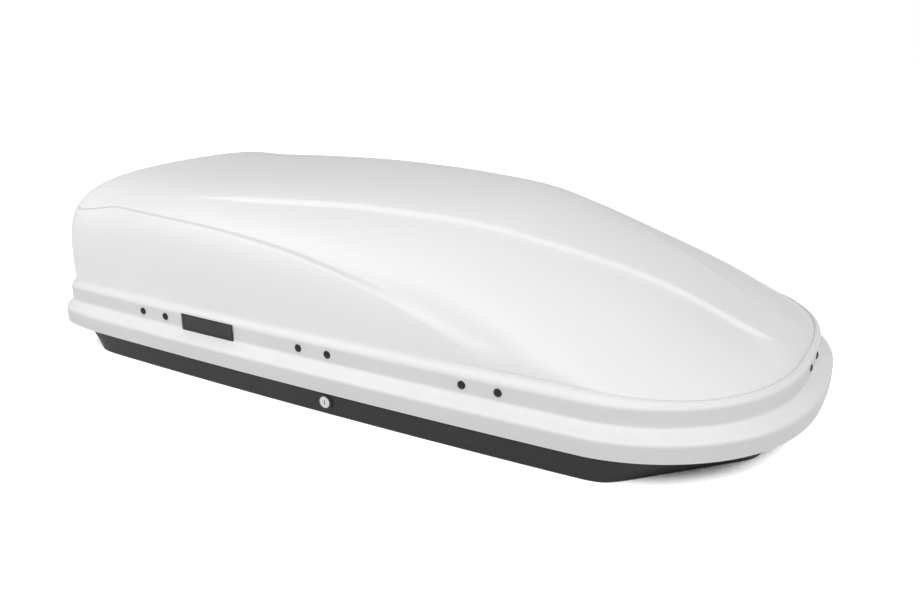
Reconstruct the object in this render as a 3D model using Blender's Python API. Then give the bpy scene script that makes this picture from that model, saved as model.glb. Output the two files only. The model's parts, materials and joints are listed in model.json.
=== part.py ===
"""Hard-shell roof box whose lid opens to one side: tray, lid, hinges, central lock and lid struts.

Metres, +Z up. +X is the nose, -Y the side with the lock, +Y the hinged side.
The origin is the middle of the underside.
"""

import math

import bmesh
import bpy
import numpy as np
from mathutils import Matrix, Vector

# Whole box
LENGTH = 1.440
WIDTH = 0.766
GAP = 0.0003

# Lid skirt, from the lower edge up; heights are above the ground
LID_WALL = 0.004
LIP_OVERHANG = 0.025
LIP_FOOT_Z = 0.051
LIP_HEIGHT = 0.019
BAND_FOOT_Z = 0.093
BAND_TOP_Z = 0.121
LEDGE_WIDTH = 0.010
LEDGE_HEIGHT = 0.012
EDGE_RADIUS = 0.003

# Plan outline of the rivet band; the lip stands out less round the tail
NOSE_LENGTH = 0.248
NOSE_POWERS = (1.8, 2.78)
TAIL_LENGTH = 0.102
TAIL_POWERS = (3.5, 2.65)
TAIL_OVERHANG = 0.011
TAIL_TUCK_RUN = 0.050
SIDE_BOW = 0.017

# Dome: crown height and section power along the box, as shares from the tail to the nose
CROWN_RISE = 0.204
CROWN = (
    (0.00, 0.957),
    (0.08, 0.940),
    (0.22, 0.950),
    (0.36, 0.980),
    (0.50, 0.979),
    (0.635, 0.910),
    (0.74, 0.703),
    (0.843, 0.430),
    (0.913, 0.199),
    (0.962, 0.061),
    (0.976, 0.025),
)
SECTION_POWER = (
    (0.00, 5.3),
    (0.10, 4.0),
    (0.22, 4.7),
    (0.43, 3.6),
    (0.63, 2.6),
    (0.84, 2.08),
    (1.00, 1.54),
)
NOSE_FAN = 0.55

# Raised middle panel of the dome, and the lower side panel under its crease
PANEL_HALF = ((0.05, 0.300), (0.29, 0.2585), (0.535, 0.211), (0.72, 0.1485), (0.865, 0.094), (0.96, 0.080))
PANEL_STEP = 0.007
PANEL_STEP_WIDTH = 0.006
PANEL_TAIL_SHARE = 0.89
CREASE_HEIGHT = 0.149
CREASE_TAIL = 0.10
CREASE_NOSE = 0.715
CREASE_POWER = 2.9
VALLEY_DEPTH = 0.007
VALLEY_WIDTH = 0.006

# Where the panel's step and the valley over the crease grow and fade, as shares along the box
STEP_RUN = (0.18, 0.38, 0.93, 0.975)
VALLEY_RUN = (0.50, 0.64, 0.70, 0.77)
VALLEY_POWER = 1.5
OUTERMOST_PANEL = 0.93
CREASE_ROOM = 0.04
OUTERMOST_CREASE = 0.985
SIDE_PANEL_ROOM = 0.01

# Tray
TRAY_WALL = 0.0035
TRAY_RIM_Z = 0.070
TRAY_RIM_OFFSET = 0.009
TRAY_TURN = 0.004
BOW_ANGLE = math.radians(46.6)
BOW_CORNER_SETBACK = 0.240
BOW_FLAT_SETBACK = 0.045
STERN_ANGLE = math.radians(48)
STERN_CORNER_SETBACK = 0.134
STERN_FLAT_SETBACK = 0.056
FOOT_SPINE_SETBACK = 0.100
CORNER_POWER = 12

# Beads and mounting rails on the floor; their ends are set back from the tail and from the nose
SWAGE_HEIGHT = 0.006
SWAGE_WIDTH = 0.030
SWAGE_SETBACKS = (0.209, 0.295)
SWAGE_MIDDLE_PITCH = 0.090
SWAGE_RAIL_PITCH = 0.055
RAIL_INSET = 0.173
RAIL_WIDTH = 0.034
RAIL_THICK = 0.002
RAIL_SETBACKS = (0.169, 0.265)

# Slots through the rails and the floor, and their rubber seals
SLOT_WIDTH = 0.010
SLOT_LENGTH = 0.200
SLOT_SETBACKS = (0.349, 0.445)
SEAL_HEAD = 0.003
SEAL_LAP = 0.004

# Rivets
RIVET_HEAD = 0.0067
RIVET_HEIGHT = 0.0032
RIVET_SHANK = 0.0024
RIVET_HOLE = 0.0028
RIVET_TAIL = 0.0036
RIVET_TAIL_LENGTH = 0.0015
RIVET_PITCH = 0.060
RIVET_Z = 0.107

# Fittings along the two long sides
FITTING_SETBACKS = (0.308, 0.413)
FITTING_MIDDLE = -0.027
FITTING_NAMES = ("rear", "middle", "front")
PLATE = 0.002
PLATE_LENGTH = 0.084
PLATE_RISE = 0.009

# Hinges
HINGE_INSET = 0.007
HINGE_Z = 0.0415
KNUCKLE = 0.0042
KNUCKLE_ROOM = 0.0006
HINGE_PIN = 0.0022
HINGE_PIN_END = 0.001
KNUCKLE_LENGTHS = (0.020, 0.024, 0.020)
HINGE_LEAF_FOOT = 0.014
HINGE_LEAF_TOP = 0.036

# Catches and the sliding bar
CATCH_FOOT_Z = 0.0465
CATCH_FOOT_LENGTH = 0.030
CATCH_FOOT_REACH = 0.007
CATCH_BEND = 0.0035
BAR_INSET = 0.027
BAR_THICK = 0.003
BAR_Z = (0.022, 0.038)
BAR_ENDS = (0.049, 0.053)
BAR_TRAVEL = 0.0184
HOOK_POST = 0.012
HOOK_CLEAR = 0.002
HOOK_ARM = 0.006
HOOK_RUN = 0.0010
GUIDE_STEPS = (0.071, -0.123, 0.117, -0.077)
GUIDE_SIZE = (0.022, 0.013)
GUIDE_DRAFT = 0.002
GUIDE_COVER = 0.0045

# Lock
LOCK_X = -0.002
LOCK_Z = 0.024
BARREL_RADIUS = 0.010
BARREL_PROUD = 0.0006
BEZEL_RADIUS = 0.0135
BEZEL_PROUD = 0.0035
HOUSING_WIDTH = 0.044
HOUSING_CLEAR = 0.0007
HOUSING_TOP = 0.0440
HOUSING_DEPTH = 0.016
KEYWAY = (0.0016, 0.0085, 0.003)
CRANK = 0.013
CRANK_END = 0.006
CRANK_THICK = 0.003
CRANK_RUN = 0.002
CRANK_PIN = 0.0025
CRANK_SLACK = 0.0006
CRANK_SWING = math.radians(90)
TAB_MARGIN = 0.0055
TAB_CLEAR = 0.0018

# Nose locator
LOCATOR_WIDTH = 0.076
TONGUE_WIDTH = 0.030
TONGUE_SETBACK = 0.024
TONGUE_FOOT_Z = 0.048
RECEIVER_WIDTH = 0.044
RECEIVER_TOP_Z = 0.058
RECEIVER_WALL = 0.008
TONGUE_SLACK = 0.0018
TONGUE_END_ROOM = 0.004

# Lid struts: their tray pivots and lid pins are set in from the rivet band
STRUT_SETBACKS = (0.209, 0.575)
STRUT_NAMES = ("rear", "front")
STRUT_FOOT_INSET = 0.058
STRUT_FOOT_Z = 0.026
STRUT_HEAD_INSET = 0.0385
STRUT_HEAD_Z = 0.150
STRUT_LEAD = (0.001662, 0.000977)
TUBE_RADIUS = 0.0085
TUBE_SPAN = (0.009, 0.092)
TUBE_FLOOR = 0.020
ROD_RADIUS = 0.004
ROD_START = 0.022
FOOT_EYE = 0.0085
HEAD_EYE = 0.0080
HEAD_ROOM = 0.0108
EYE_THICK = 0.006
STRUT_PIN = 0.0025
STRUT_SLACK = 0.0026
EAR_GAP = 0.0006
EAR_THICK = 0.0025
EAR_MARGIN = 0.0035
BRACKET_LENGTH = 0.034
BRACKET_THICK = 0.0025
BRACKET_DEPTH = 0.028
BRACKET_HEIGHT = 0.032

# Sides of the round pieces
FINE_TURN = 24
TURN = 10
PIN_TURN = 8

# Places that several pieces share
BAND_HALF = WIDTH / 2 - LIP_OVERHANG
BAND_END = LENGTH / 2 - LIP_OVERHANG
BAND_TAIL = LENGTH / 2 - TAIL_OVERHANG
FOOT_Z = BAND_TOP_Z + LEDGE_HEIGHT
RAIL_Y = BAND_HALF - RAIL_INSET
HINGE_Y = WIDTH / 2 - HINGE_INSET
BAR_Y = BAND_HALF - BAR_INSET
HOUSING_Z = (TRAY_TURN + TRAY_WALL + HOUSING_CLEAR, HOUSING_TOP)
FITTING_X = (FITTING_SETBACKS[0] - BAND_TAIL, FITTING_MIDDLE, BAND_END - FITTING_SETBACKS[1])
STRUT_X = (STRUT_SETBACKS[0] - BAND_TAIL, BAND_END - STRUT_SETBACKS[1])
STRUT_FOOT = (BAND_HALF - STRUT_FOOT_INSET, STRUT_FOOT_Z)
STRUT_HEAD = (BAND_HALF - STRUT_HEAD_INSET, STRUT_HEAD_Z)


def material(name, colour, roughness, metallic=0.0):
    made = bpy.data.materials.new(name)
    made.use_nodes = True
    shader = made.node_tree.nodes["Principled BSDF"]
    shader.inputs["Base Color"].default_value = (*colour, 1.0)
    shader.inputs["Roughness"].default_value = roughness
    shader.inputs["Metallic"].default_value = metallic
    return made


def link(name, mesh, finish, smooth=True):
    """Puts a mesh in the scene under its own name, with sharp edges kept sharp."""
    mesh.name = name
    obj = bpy.data.objects.new(name, mesh)
    bpy.context.scene.collection.objects.link(obj)
    if finish:
        mesh.materials.append(finish)
    if smooth:
        mesh.shade_smooth()
        mesh.set_sharp_from_angle(angle=math.radians(32))
    return obj


def mesh_from(points, faces):
    """A closed mesh with its faces turned outwards."""
    mesh = bpy.data.meshes.new("mesh")
    mesh.from_pydata([tuple(map(float, p)) for p in points], [], faces)
    work = bmesh.new()
    work.from_mesh(mesh)
    bmesh.ops.remove_doubles(work, verts=work.verts, dist=1e-6)
    bmesh.ops.recalc_face_normals(work, faces=work.faces)
    work.to_mesh(mesh)
    work.free()
    return mesh


def prism(outline, low, high, axis="Z"):
    """The outline (pairs) carried from low to high along one axis."""
    order = {"X": lambda a, b, c: (c, a, b), "Y": lambda a, b, c: (a, c, b), "Z": lambda a, b, c: (a, b, c)}
    place = order[axis]
    count = len(outline)
    points = [place(a, b, low) for a, b in outline] + [place(a, b, high) for a, b in outline]
    faces = [tuple(range(count)), tuple(range(count, 2 * count))]
    faces += [(i, (i + 1) % count, (i + 1) % count + count, i + count) for i in range(count)]
    return mesh_from(points, faces)


def circle(radius, count=16, middle=(0.0, 0.0)):
    turns = [2 * math.pi * (i + 0.5) / count for i in range(count)]
    return [(middle[0] + radius * math.cos(t), middle[1] + radius * math.sin(t)) for t in turns]


def stadium(length, width, middle=(0.0, 0.0), steps=6):
    """A slot outline along the first axis, with round ends."""
    radius = width / 2
    reach = length / 2 - radius
    points = []
    for end in (1, -1):
        for i in range(steps + 1):
            turn = math.pi * (i / steps - 0.5)
            points.append((middle[0] + end * (reach + radius * math.cos(turn)),
                           middle[1] + end * radius * math.sin(turn)))
    return points


def ribbon(path, thickness):
    """The outline of a bent strip: the path (pairs) and its parallel, thickness to its left."""
    return list(path) + parallel(path, thickness)[::-1]


def boolean(obj, cutter, operation):
    """Cuts or joins a helper object, which stays hidden as a wire."""
    cutter.hide_render = True
    cutter.display_type = "WIRE"
    step = obj.modifiers.new(cutter.name, "BOOLEAN")
    step.operation = operation
    step.solver = "EXACT"
    step.object = cutter
    return step


def helper(name, mesh, parent=None):
    obj = link(name, mesh, None, smooth=False)
    obj.hide_render = True
    obj.display_type = "WIRE"
    obj.parent = parent
    return obj


def joined(name, meshes, finish):
    """One solid from overlapping meshes, by Boolean unions."""
    obj = link(name, meshes[0], finish)
    for i, mesh in enumerate(meshes[1:]):
        boolean(obj, helper(f"{name}_add_{i}", mesh, obj), "UNION")
    return obj


def smooth_curve(stations, where):
    """A cubic through (place, value) stations, with no overshoot between equal neighbours."""
    xs = np.array([s[0] for s in stations])
    ys = np.array([s[1] for s in stations])
    slopes = np.gradient(ys, xs)
    where = np.clip(where, xs[0], xs[-1])
    i = np.clip(np.searchsorted(xs, where) - 1, 0, len(xs) - 2)
    step = xs[i + 1] - xs[i]
    t = (where - xs[i]) / step
    return (
        ys[i] * (1 + 2 * t) * (1 - t) ** 2
        + ys[i + 1] * t**2 * (3 - 2 * t)
        + step * (slopes[i] * t * (1 - t) ** 2 - slopes[i + 1] * t**2 * (1 - t))
    )


def ramp(value, start, end):
    t = np.clip((value - start) / (end - start), 0.0, 1.0)
    return t * t * (3 - 2 * t)


def share_along(x):
    return (np.asarray(x) + LENGTH / 2) / LENGTH


def band_half(x):
    """Half-width of the rivet band on the long sides."""
    return BAND_HALF - SIDE_BOW * (np.asarray(x) / BAND_END) ** 2


def half_outline(nose_steps, side_steps, tail_steps):
    """The rivet band in plan from the nose tip round the +Y side to the tail, as an array."""
    nose_start = BAND_END - NOSE_LENGTH
    tail_start = TAIL_LENGTH - BAND_TAIL
    turn = np.linspace(0, math.pi / 2, nose_steps + 1)
    nose_x = nose_start + NOSE_LENGTH * np.cos(turn) ** (2 / NOSE_POWERS[0])
    nose_y = band_half(nose_x) * np.sin(turn) ** (2 / NOSE_POWERS[1])
    side_x = np.linspace(nose_start, tail_start, side_steps + 1)[1:-1]
    turn = np.linspace(math.pi / 2, 0, tail_steps + 1)
    tail_x = tail_start - TAIL_LENGTH * np.cos(turn) ** (2 / TAIL_POWERS[0])
    tail_y = band_half(tail_x) * np.sin(turn) ** (2 / TAIL_POWERS[1])
    x = np.concatenate([nose_x, side_x, tail_x])
    y = np.concatenate([nose_y, band_half(side_x), tail_y])
    return np.column_stack([x, y])


def offset(points, distance):
    """A half outline moved outwards, with both ends kept on the middle plane."""
    ring = np.vstack([points[1] * (1, -1), points, points[-2] * (1, -1)])
    along = ring[2:] - ring[:-2]
    along /= np.linalg.norm(along, axis=1)[:, None]
    moved = points + np.reshape(distance, (-1, 1)) * np.column_stack([along[:, 1], -along[:, 0]])
    moved[0, 1] = 0.0
    moved[-1, 1] = 0.0
    return moved


def tuck(band, out):
    """How much less a row of the skirt, out from the band, stands out towards the tail."""
    back = ramp(-band[:, 0], BAND_TAIL - TAIL_LENGTH - TAIL_TUCK_RUN, BAND_TAIL - LEDGE_WIDTH)
    return max(out, 0.0) * (1 - TAIL_OVERHANG / LIP_OVERHANG) * back


def rings_to_sheet(rings):
    """Points and faces of a sheet through half rings (x, y, z), each mirrored to a whole ring."""
    points = []
    for ring in rings:
        mirrored = ring[-2:0:-1] * (1, -1, 1)
        points.extend(np.vstack([ring, mirrored]))
    count = 2 * len(rings[0]) - 2
    faces = []
    for r in range(len(rings) - 1):
        for i in range(count):
            j = (i + 1) % count
            faces.append((r * count + i, r * count + j, (r + 1) * count + j, (r + 1) * count + i))
    return points, faces


def at_height(plan, z):
    return np.column_stack([plan, np.full(len(plan), z)])


def dome_height(x, gauge):
    """Height of the dome where gauge runs from 0 on the crown line to 1 at the foot."""
    share = share_along(x)
    power = smooth_curve(SECTION_POWER, share)
    crown = CROWN_RISE * smooth_curve(CROWN, share)
    return FOOT_Z + crown * (1 - np.clip(gauge, 0, 1) ** power) ** (1 / power)


def dome_rings(band):
    """Rings of the dome, from its foot over the crease and the panel edge to the crown line."""
    foot = offset(band, -LEDGE_WIDTH)
    nose_start = BAND_END - NOSE_LENGTH
    tail_start = TAIL_LENGTH - BAND_TAIL
    x = foot[:, 0]
    spine = np.where(x > nose_start, nose_start + (x - nose_start) * NOSE_FAN, np.maximum(x, tail_start))
    tail = x < tail_start
    outline_x = x[::-1]
    outline_y = foot[::-1, 1]

    def gauge(share, px):
        half = np.maximum(np.interp(px, outline_x, outline_y), 1e-4)
        return np.where(tail, share, foot[:, 1] * share / half)

    def place(share, drop=0.0, inset=0.0):
        px = spine + (x - spine) * share
        py = foot[:, 1] * share
        reach = np.maximum(np.hypot(x - spine, foot[:, 1]), 1e-6)
        pull = 1 - inset / reach
        pz = dome_height(px, gauge(share, px)) - drop
        return np.column_stack([spine + (px - spine) * pull, py * pull, np.maximum(pz, FOOT_Z)])

    def edge_share(test):
        """The share along each station where test(x, y, z) changes sign, by halving."""
        low = np.zeros(len(x))
        high = np.ones(len(x))
        for _ in range(40):
            middle = (low + high) / 2
            px = spine + (x - spine) * middle
            outside = test(px, foot[:, 1] * middle, dome_height(px, gauge(middle, px)))
            high = np.where(outside, middle, high)
            low = np.where(outside, low, middle)
        return (low + high) / 2

    station = share_along(x)
    panel = edge_share(lambda px, py, pz: py > smooth_curve(PANEL_HALF, share_along(px)))
    panel = np.where(tail, PANEL_TAIL_SHARE, np.minimum(panel, OUTERMOST_PANEL))
    run = np.clip((station - CREASE_TAIL) / (CREASE_NOSE - CREASE_TAIL), 0, 1)
    crease_z = FOOT_Z + CREASE_HEIGHT * (1 - run**CREASE_POWER)
    crease = edge_share(lambda px, py, pz: pz < crease_z)
    crease = np.clip(crease, panel + CREASE_ROOM, OUTERMOST_CREASE)

    length = np.maximum(np.hypot(x - spine, foot[:, 1]), 1e-6)
    step = PANEL_STEP * ramp(station, *STEP_RUN[:2]) * (1 - ramp(station, *STEP_RUN[2:]))
    valley = VALLEY_DEPTH * ramp(station, *VALLEY_RUN[:2]) * (1 - ramp(station, *VALLEY_RUN[2:]))
    power = smooth_curve(SECTION_POWER, share_along(spine))

    def between(outer, inner, t):
        """A share between two others, spread by the turn of the section."""
        a = np.arccos(np.clip(outer, 0, 1) ** (power / 2))
        b = np.arccos(np.clip(inner, 0, 1) ** (power / 2))
        return np.cos(a + (b - a) * t) ** (2 / power)

    one = np.ones(len(x))
    upper = crease - VALLEY_WIDTH / length
    lower_edge = panel + PANEL_STEP_WIDTH / length
    upper = np.maximum(upper, lower_edge + SIDE_PANEL_ROOM)
    rings = [place(between(one, crease, t)) for t in (0.25, 0.5, 0.75, 1.0)]
    for t in (0.0, 0.3, 0.55, 0.8, 1.0):
        pinch = valley * (1 - t) ** VALLEY_POWER
        rings.append(place(between(upper, lower_edge, t), drop=step * t, inset=pinch))
    for t in (0.0, 0.18, 0.4, 0.65):
        rings.append(place(between(panel, 0 * one, t)))
    rings.append(place(0.0 * one))
    return rings


def skirt_rows():
    """(offset from the rivet band, height) up the skirt of the lid."""
    turn = EDGE_RADIUS
    flare_top = LIP_FOOT_Z + LIP_HEIGHT
    return [
        (LIP_OVERHANG, LIP_FOOT_Z),
        (LIP_OVERHANG, flare_top),
        (LIP_OVERHANG - turn, flare_top + turn),
        (turn / 2, BAND_FOOT_Z - turn),
        (0.0, BAND_FOOT_Z),
        (0.0, BAND_TOP_Z),
        (-turn / 2, BAND_TOP_Z + turn / 2),
        (-LEDGE_WIDTH, FOOT_Z),
    ]


def parallel(path, distance):
    """The path (pairs) moved to its left by a distance, with mitred corners."""
    path = [Vector(p) for p in path]
    moved = []
    for i, point in enumerate(path):
        before = (point - path[i - 1]).normalized() if i else (path[1] - point).normalized()
        after = (path[i + 1] - point).normalized() if i + 1 < len(path) else before
        mitre = (Vector((-before.y, before.x)) + Vector((-after.y, after.x))).normalized()
        moved.append(point + mitre * distance / max(mitre.dot(Vector((-after.y, after.x))), 0.3))
    return [tuple(p) for p in moved]


def inner_dome(rings, distance):
    """The dome's rings moved inwards along their normals, and straight down on the crown line."""
    grid = np.array(rings)
    ring = np.concatenate([grid[:, 1:2] * (1, -1, 1), grid, grid[:, -2:-1] * (1, -1, 1)], axis=1)
    along = ring[:, 2:] - ring[:, :-2]
    up = np.gradient(grid, axis=0)
    normal = np.cross(along, up)
    normal /= np.maximum(np.linalg.norm(normal, axis=2), 1e-9)[:, :, None]
    normal[:, 0, 1] = 0.0
    normal[:, -1, 1] = 0.0
    normal[-1] = (0.0, 0.0, 1.0)
    normal[..., 2] = np.maximum(normal[..., 2], 0.0)
    return list(grid - distance * normal)


def lid_inside(band, distance):
    """Half rings of a surface at a distance inside the lid, from the lip to the crown line."""
    rows = skirt_rows()
    turned_in = parallel(rows + [(-LEDGE_WIDTH, FOOT_Z + LEDGE_HEIGHT)], distance)[:-1]
    turned_in[0] = (rows[0][0] - distance, rows[0][1])
    skirt = []
    for (outer, _), (out, z) in zip(rows, turned_in):
        skirt.append(at_height(offset(band, out - tuck(band, outer)), z))
    return skirt + inner_dome(dome_rings(band), distance)


def lid_plan():
    return half_outline(11, 13, 9)


def lid_shell(finish):
    band = lid_plan()
    skirt = [at_height(offset(band, out - tuck(band, out)), z) for out, z in skirt_rows()]
    outer = skirt + dome_rings(band)
    points, faces = rings_to_sheet(outer[::-1] + lid_inside(band, LID_WALL))
    return link("lid_shell", mesh_from(points, faces), finish)


def lid_cavity():
    """The room inside the lid, a running gap clear of its inner face, to trim what seats there."""
    rings = lid_inside(lid_plan(), LID_WALL + GAP)
    low = rings[0] * (1, 0, 1)
    points, faces = rings_to_sheet([low] + rings)
    return mesh_from(points, faces)


def side_frame(x, side):
    """Place on the rivet band at x: -1 is the lock side, +1 the hinged side. Local +Y points out."""
    slope = -2 * SIDE_BOW * x / BAND_END**2
    turn = math.atan(slope)
    if side > 0:
        return Matrix.Translation((x, float(band_half(x)), 0)) @ Matrix.Rotation(turn, 4, "Z")
    return Matrix.Translation((x, -float(band_half(x)), 0)) @ Matrix.Rotation(math.pi - turn, 4, "Z")


def nose_frame():
    return Matrix.Translation((BAND_END, 0, 0)) @ Matrix.Rotation(-math.pi / 2, 4, "Z")


def rivet_mesh(grip):
    """A pop rivet along +Y: round head outside, shank through the grip, set tail inside."""
    profile = [(RIVET_HEAD * math.cos(t), RIVET_HEIGHT * math.sin(t))
               for t in np.linspace(math.pi / 2, 0, 4)]
    profile[0] = (0.0, RIVET_HEIGHT)
    profile += [(RIVET_SHANK, 0.0), (RIVET_SHANK, -grip), (RIVET_TAIL, -grip)]
    profile += [(RIVET_TAIL, -grip - RIVET_TAIL_LENGTH), (0.0, -grip - RIVET_TAIL_LENGTH)]
    count = PIN_TURN
    points = []
    for radius, out in profile:
        for i in range(count):
            turn = 2 * math.pi * i / count
            points.append((radius * math.cos(turn), out + GAP, radius * math.sin(turn)))
    faces = []
    for r in range(len(profile) - 1):
        for i in range(count):
            j = (i + 1) % count
            faces.append((r * count + i, r * count + j, (r + 1) * count + j, (r + 1) * count + i))
    return mesh_from(points, faces)


def rivet(name, place, inset, lid, finish):
    """One rivet through the band and a plate that lies inset further in, with its hole in the lid."""
    grip = LID_WALL + inset + PLATE + 3 * GAP
    obj = link(name, rivet_mesh(grip), finish)
    obj.matrix_world = place
    hole = helper(f"{name}_hole", prism(circle(RIVET_HOLE, PIN_TURN), -0.012, 0.006, "Y"))
    hole.matrix_world = place
    boolean(lid, hole, "DIFFERENCE")
    return hole


def catch(name, frame, lid, finish, dark):
    """A strip riveted inside the band, which hangs inside the tray and ends in a foot."""
    face = -LID_WALL - GAP
    foot_y = BAR_Y - BAND_HALF - CATCH_FOOT_REACH
    path = [
        (face, RIVET_Z + PLATE_RISE),
        (face, CATCH_FOOT_Z + CATCH_BEND),
        (face - CATCH_BEND, CATCH_FOOT_Z),
        (foot_y, CATCH_FOOT_Z),
    ]
    strip = prism(ribbon(path, -PLATE), -PLATE_LENGTH / 2, PLATE_LENGTH / 2, "X")
    obj = link(name, strip, finish)
    obj.matrix_world = frame
    low = CATCH_FOOT_Z - 0.01
    for side in (-1, 1):
        inner = side * CATCH_FOOT_LENGTH / 2
        outer = side * PLATE_LENGTH
        corner = side * (CATCH_FOOT_LENGTH / 2 + 0.022)
        outline = [(inner, low), (inner, 0.068), (corner, 0.092), (outer, 0.092), (outer, low)]
        relief = helper(f"{name}_relief_{side + 1}", prism(outline, -0.06, 0.02, "Y"))
        relief.matrix_world = frame
        boolean(obj, relief, "DIFFERENCE")
    for label, along in (("a", -RIVET_PITCH / 2), ("b", RIVET_PITCH / 2)):
        place = frame @ Matrix.Translation((along, 0, RIVET_Z))
        boolean(obj, rivet(f"{name}_rivet_{label}", place, 0.0, lid, dark), "DIFFERENCE")


def tray_foot(rim):
    """The tray's outline at the ground: drafted sides, and a bow and a stern with bevelled corners."""
    bow = np.array([BAND_END - BOW_CORNER_SETBACK, 0.0])
    stern = np.array([STERN_CORNER_SETBACK - BAND_TAIL, 0.0])
    bow_aim = np.array([math.sin(BOW_ANGLE), math.cos(BOW_ANGLE)])
    stern_aim = np.array([-math.sin(STERN_ANGLE), math.cos(STERN_ANGLE)])
    bow_middle = bow - (FOOT_SPINE_SETBACK, 0.0)
    stern_middle = stern + (FOOT_SPINE_SETBACK, 0.0)
    bow_corner = bow + (0.0, float(band_half(bow[0])))
    stern_corner = stern + (0.0, float(band_half(stern[0])))
    placed = []
    for point in rim:
        middle = np.array([np.clip(point[0], stern_middle[0], bow_middle[0]), 0.0])
        aim = point - middle
        walls = [
            aim[1] / float(band_half(point[0])),
            aim[0] / (BAND_END - BOW_FLAT_SETBACK - middle[0]),
            aim[0] / (STERN_FLAT_SETBACK - BAND_TAIL - middle[0]),
            aim @ bow_aim / ((bow_corner - middle) @ bow_aim),
            aim @ stern_aim / ((stern_corner - middle) @ stern_aim),
        ]
        gauge = sum(max(w, 0.0) ** CORNER_POWER for w in walls) ** (1 / CORNER_POWER)
        placed.append(middle + aim / gauge)
    return np.array(placed)


def tray_plans():
    """Plan outlines of the tray: rim and foot."""
    band = half_outline(14, 10, 8)
    rim = offset(band, TRAY_RIM_OFFSET - tuck(band, TRAY_RIM_OFFSET))
    return rim, tray_foot(rim)


def tray_inner_wall():
    """Half rings of the tray's inner wall, from its lower turn to the rim."""
    rim, foot = tray_plans()
    middle_z = (TRAY_RIM_Z + TRAY_TURN) / 2
    return [
        at_height(offset(foot, -TRAY_WALL), TRAY_TURN + TRAY_WALL),
        at_height(offset((rim + foot) / 2, -TRAY_WALL), middle_z),
        at_height(offset(rim, -TRAY_WALL), TRAY_RIM_Z),
    ]


def base_tray(finish):
    rim, foot = tray_plans()
    drop = TRAY_RIM_Z - TRAY_TURN
    wall = tray_inner_wall()
    outside = [
        wall[-1],
        at_height(rim, TRAY_RIM_Z),
        at_height((rim + foot) / 2, TRAY_RIM_Z - drop / 2),
        at_height(foot, TRAY_TURN),
        at_height(offset(foot, -TRAY_TURN * 0.3), TRAY_TURN * 0.3),
        at_height(offset(foot, -TRAY_TURN), 0.0),
    ]
    centre = offset(foot, -TRAY_TURN) * (1, 0)
    under = at_height(centre, 0.0)
    floor = at_height(centre, TRAY_WALL)
    inner = [floor, at_height(offset(foot, -TRAY_TURN - TRAY_WALL), TRAY_WALL)] + wall
    points, faces = rings_to_sheet(outside + [under])
    more_points, more_faces = rings_to_sheet(inner)
    shift = len(points)
    faces += [tuple(i + shift for i in face) for face in more_faces]
    tray = link("base_tray", mesh_from(points + more_points, faces), finish)
    middle, span = floor_run(SWAGE_SETBACKS)
    outermost = RAIL_Y + SWAGE_RAIL_PITCH
    rows = (-outermost, -SWAGE_MIDDLE_PITCH, 0.0, SWAGE_MIDDLE_PITCH, outermost)
    for i, y in enumerate(rows):
        bead = stadium(span, SWAGE_WIDTH, (middle, y), 5)
        raised = prism(bead, TRAY_WALL / 2, TRAY_WALL + SWAGE_HEIGHT)
        boolean(tray, helper(f"swage_{i}", raised), "UNION")
    for i, y in enumerate(rows):
        hollow = stadium(span - 2 * TRAY_WALL, SWAGE_WIDTH - 2 * TRAY_WALL, (middle, y), 5)
        boolean(tray, helper(f"swage_hollow_{i}", prism(hollow, -0.01, SWAGE_HEIGHT)), "DIFFERENCE")
    return tray


def floor_run(setbacks):
    """Middle and length of what runs along the floor, set back from the tail and from the nose."""
    low = setbacks[0] - BAND_TAIL
    high = BAND_END - setbacks[1]
    return (low + high) / 2, high - low


def slots():
    """Middles (x, y) and names of the mounting slots."""
    ends = (("rear", SLOT_SETBACKS[0] - BAND_TAIL), ("front", BAND_END - SLOT_SETBACKS[1]))
    for side, y in (("near", -RAIL_Y), ("far", RAIL_Y)):
        for end, x in ends:
            yield f"{side}_{end}", x, y


def mounting(tray, steel, rubber):
    """Two steel strips on the floor, their slots, and a rubber seal in each slot."""
    rails = {}
    low = TRAY_WALL + GAP
    middle, length = floor_run(RAIL_SETBACKS)
    for side, y in (("near", -RAIL_Y), ("far", RAIL_Y)):
        outline = stadium(length, RAIL_WIDTH, (middle, y), 5)
        rails[side] = link(f"mounting_rail_{side}", prism(outline, low, low + RAIL_THICK), steel)
    for name, x, y in slots():
        cut = helper(f"slot_{name}", prism(stadium(SLOT_LENGTH, SLOT_WIDTH, (x, y)), -0.01, 0.02))
        boolean(tray, cut, "DIFFERENCE")
        boolean(rails[name.split("_")[0]], cut, "DIFFERENCE")
        top = low + RAIL_THICK + GAP
        plug = stadium(SLOT_LENGTH - 2 * GAP, SLOT_WIDTH - 2 * GAP, (x, y))
        head = stadium(SLOT_LENGTH + 2 * SEAL_LAP, SLOT_WIDTH + 2 * SEAL_LAP, (x, y))
        joined(f"slot_seal_{name}", [prism(head, top, top + SEAL_HEAD),
                                     prism(plug, GAP, top + SEAL_HEAD / 2)], rubber)


def wall_y(places, z):
    """Outermost place of the tray's long side over some x, at a height."""
    rise = (z - TRAY_TURN) / (TRAY_RIM_Z - TRAY_TURN)
    return float(band_half(places).max()) + TRAY_RIM_OFFSET * rise


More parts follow.
